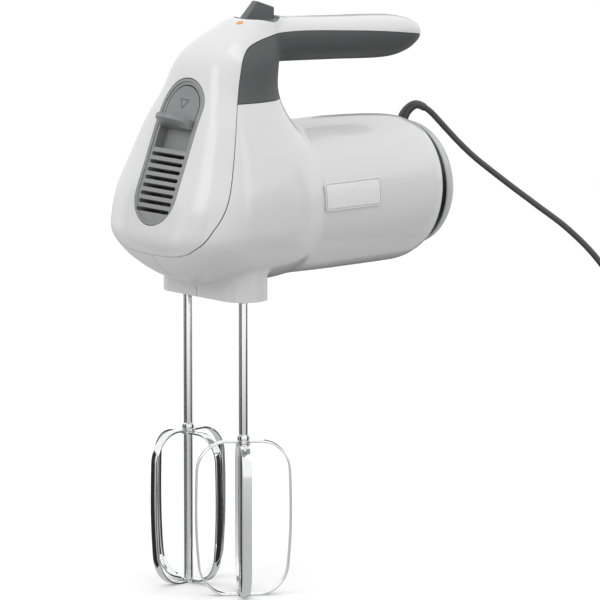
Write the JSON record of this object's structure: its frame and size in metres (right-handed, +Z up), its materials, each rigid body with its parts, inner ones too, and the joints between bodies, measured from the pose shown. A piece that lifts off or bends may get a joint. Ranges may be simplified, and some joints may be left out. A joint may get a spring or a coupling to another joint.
{
  "type": "hand mixer",
  "caption": "Electric hand mixer with a slanting nose, open-ended straight handle, round motor barrel, wire-loop beaters and a mains cord.",
  "frame": {"origin": "bottom centre of the box of the mixer without its cord, standing on its beater tips", "axes": "+Z up along the beater shafts, -X out of the nose, +X towards the heel, +Y to the right hand of a user who looks along the nose"},
  "size_m": [0.3504, 0.1866, 0.3168],
  "materials": {
    "white_shell": "gloss white ABS",
    "dark_grip": "satin soft-feel dark grey",
    "panel_grey": "satin mid grey",
    "lever_grey": "satin dark grey",
    "orange_mark": "satin orange",
    "badge_plate": "satin silver-grey plate, blank",
    "black_ring": "satin black",
    "heel_grey": "satin light grey",
    "cord_sheath": "satin dark grey PVC",
    "beater_chrome": "bright chrome",
    "steel": "bare steel",
    "copper": "enamelled copper winding",
    "brass": "bare brass",
    "carbon": "matt carbon",
    "gear_plastic": "natural acetal",
    "board_green": "green board"
  },
  "bodies": {
    "mixer_body": {"control_board": "board_green", "cord_coil": "cord_sheath", "field_core": "steel", "front_bearing": "brass", "gearbox_frame": "gear_plastic", "handle_grip": "dark_grip", "heel_cap": "heel_grey", "housing_screw_1": "steel", "housing_screw_2": "steel", "housing_screw_3": "steel", "left_brush_holder": "brass", "left_carbon_brush": "carbon", "left_housing": "white_shell", "left_plug_pin": "steel", "lower_field_coil": "copper", "mains_cord": "cord_sheath", "nose_cover": "white_shell", "plug_body": "black_ring", "rear_bearing": "brass", "rear_ring": "black_ring", "return_spring": "steel", "right_brush_holder": "brass", "right_carbon_brush": "carbon", "right_housing": "white_shell", "right_plug_pin": "steel", "selector_mark": "orange_mark", "side_badge": "badge_plate", "speed_switch": "black_ring", "strain_relief": "cord_sheath", "upper_field_coil": "copper", "vent_panel": "panel_grey"},
    "selector": {"speed_selector": "lever_grey"},
    "eject_slider": {"eject_slider": "lever_grey"},
    "ejector_yoke": {"ejector_yoke": "gear_plastic"},
    "rotor": {"motor_shaft": "steel", "armature_core": "steel", "front_winding_head": "copper", "rear_winding_head": "copper", "commutator": "brass", "cooling_fan": "black_ring"},
    "left_drive": {"left_drive_gear": "gear_plastic"},
    "right_drive": {"right_drive_gear": "gear_plastic"},
    "left_beater": {"left_beater_shaft": "beater_chrome", "left_outer_loop": "beater_chrome", "left_inner_loop": "beater_chrome"},
    "right_beater": {"right_beater_shaft": "beater_chrome", "right_outer_loop": "beater_chrome", "right_inner_loop": "beater_chrome"}
  },
  "joints": [
    {"name": "speed_selector", "type": "hinge", "parent": "mixer_body", "child": "selector", "pos_m": [-0.02, 0, 0.3085], "axis": [0, 0, 1], "range_deg": [-15, 75]},
    {"name": "eject_slide", "type": "slide", "parent": "mixer_body", "child": "eject_slider", "axis": [-0.3665, 0, -0.9304], "range_m": [0, 0.01], "stiffness_N_per_m": 300, "springref_m": -0.004},
    {"name": "yoke_slide", "type": "slide", "parent": "mixer_body", "child": "ejector_yoke", "axis": [0, 0, -1], "range_m": [0, 0.0095], "deforming": ["return_spring"]},
    {"name": "motor_spin", "type": "hinge", "parent": "mixer_body", "child": "rotor", "pos_m": [0.0235, 0, 0.207], "axis": [1, 0, 0], "continuous": true},
    {"name": "left_drive_spin", "type": "hinge", "parent": "mixer_body", "child": "left_drive", "pos_m": [-0.0495, -0.023, 0.207], "axis": [0, 0, 1], "continuous": true},
    {"name": "right_drive_spin", "type": "hinge", "parent": "mixer_body", "child": "right_drive", "pos_m": [-0.0495, 0.023, 0.207], "axis": [0, 0, 1], "continuous": true},
    {"name": "left_beater_eject", "type": "slide", "parent": "left_drive", "child": "left_beater", "axis": [0, 0, -1], "range_m": [0, 0.0095]},
    {"name": "right_beater_eject", "type": "slide", "parent": "right_drive", "child": "right_beater", "axis": [0, 0, -1], "range_m": [0, 0.0095]}
  ],
  "couplings": [
    {"joint": "yoke_slide", "follows": "eject_slide", "ratio": 0.93},
    {"joint": "left_beater_eject", "follows": "eject_slide", "ratio": 0.93},
    {"joint": "right_beater_eject", "follows": "eject_slide", "ratio": 0.93},
    {"joint": "left_drive_spin", "follows": "motor_spin", "ratio": 0.071429},
    {"joint": "right_drive_spin", "follows": "motor_spin", "ratio": -0.071429}
  ]
}
